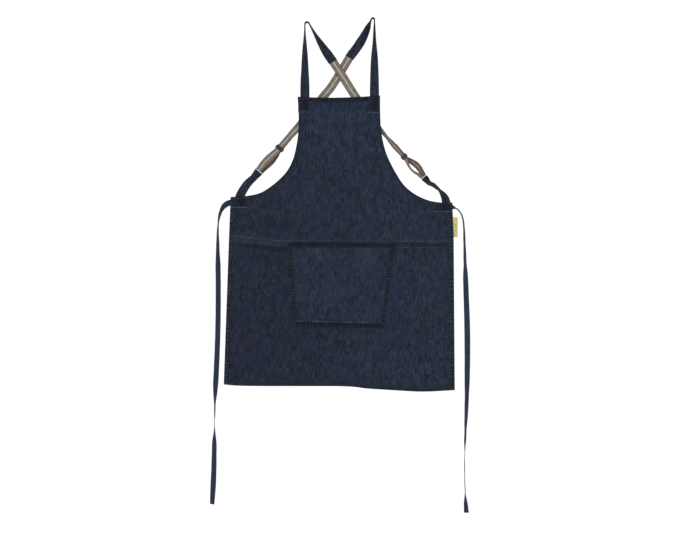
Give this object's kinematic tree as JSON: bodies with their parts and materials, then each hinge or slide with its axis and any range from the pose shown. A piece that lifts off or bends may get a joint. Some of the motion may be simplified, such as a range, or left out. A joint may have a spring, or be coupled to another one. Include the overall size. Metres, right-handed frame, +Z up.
{
  "type": "cross-back apron",
  "caption": "Denim bib apron with crossed webbing straps, sliding adjusters, front pocket and free waist ties, shaped as it hangs from two pegs.",
  "frame": {"origin": "midway between the axes of the two pegs that the shoulder straps hang on", "axes": "+Z up, -Y out of the apron's front, +X to the right seen from the front"},
  "size_m": [0.7933, 0.0444, 1.505],
  "materials": {
    "denim": "mottled dark indigo denim",
    "hem_denim": "folded and stitched denim, worn pale along its folds",
    "patch_denim": "doubled dark denim with box stitching",
    "strap_denim": "doubled denim strap",
    "pocket_denim": "mottled dark indigo denim",
    "striped_webbing": "woven tape, grey-green with cream and red stripes",
    "slider_metal": "dark olive-black enamel, worn at the edges",
    "ring_metal": "dark enamel, worn",
    "tie_tape": "flat denim tape",
    "label_weave": "pale khaki woven label with plain bars",
    "tack_thread": "dense bar-tack thread"
  },
  "bodies": {
    "bib": {"bib_panel": "denim", "bib_top_hem": "hem_denim", "left_bib_edge_hem": "hem_denim", "right_bib_edge_hem": "hem_denim", "left_strap_patch": "patch_denim", "right_strap_patch": "patch_denim", "left_corner_patch": "patch_denim", "right_corner_patch": "patch_denim", "left_shoulder_strap": "strap_denim", "right_shoulder_strap": "strap_denim", "left_webbing": "striped_webbing", "right_webbing": "striped_webbing", "left_side_tab": "strap_denim", "right_side_tab": "strap_denim"},
    "skirt": {"skirt_panel": "denim", "waist_band": "hem_denim", "bottom_hem": "hem_denim", "left_skirt_hem": "hem_denim", "right_skirt_hem": "hem_denim", "pocket": "pocket_denim", "pocket_top_hem": "hem_denim", "pocket_bottom_hem": "hem_denim", "pocket_bar_tacks": "tack_thread"},
    "left_slider": {"left_slider": "slider_metal", "left_slider_bar": "slider_metal"},
    "right_slider": {"right_slider": "slider_metal", "right_slider_bar": "slider_metal"},
    "left_ring": {"left_ring": "ring_metal"},
    "right_ring": {"right_ring": "ring_metal"},
    "left_tie": {"left_tie": "tie_tape"},
    "right_tie": {"right_tie": "tie_tape"},
    "side_label": {"side_label": "label_weave"}
  },
  "joints": [
    {"name": "skirt_fold", "type": "hinge", "parent": "bib", "child": "skirt", "pos_m": [0, 0, -0.659], "axis": [-1, 0, 0], "range_deg": [-20, 85]},
    {"name": "left_slider_slide", "type": "slide", "parent": "bib", "child": "left_slider", "axis": [0.6521, 0, 0.7581], "range_m": [-0.012, 0.035]},
    {"name": "right_slider_slide", "type": "slide", "parent": "bib", "child": "right_slider", "axis": [-0.6591, 0, 0.7521], "range_m": [-0.012, 0.035]},
    {"name": "left_ring_swivel", "type": "hinge", "parent": "bib", "child": "left_ring", "pos_m": [-0.23695, 0.01302, -0.44908], "axis": [0.5974, -0.6157, -0.5139], "range_deg": [-10, 10]},
    {"name": "right_ring_swivel", "type": "hinge", "parent": "bib", "child": "right_ring", "pos_m": [0.254, 0.01566, -0.46937], "axis": [0.3178, -0.9063, 0.2785], "range_deg": [-10, 10]},
    {"name": "left_tie_swing", "type": "hinge", "parent": "bib", "child": "left_tie", "pos_m": [-0.326, 0.0044, -0.547], "axis": [0, 1, 0], "range_deg": [0, 80]},
    {"name": "right_tie_swing", "type": "hinge", "parent": "bib", "child": "right_tie", "pos_m": [0.336, 0.0044, -0.561], "axis": [0, -1, 0], "range_deg": [0, 80]},
    {"name": "label_flip", "type": "hinge", "parent": "bib", "child": "side_label", "pos_m": [0.3456, 0, -0.6235], "axis": [0, 0, 1], "range_deg": [-80, 80]}
  ]
}
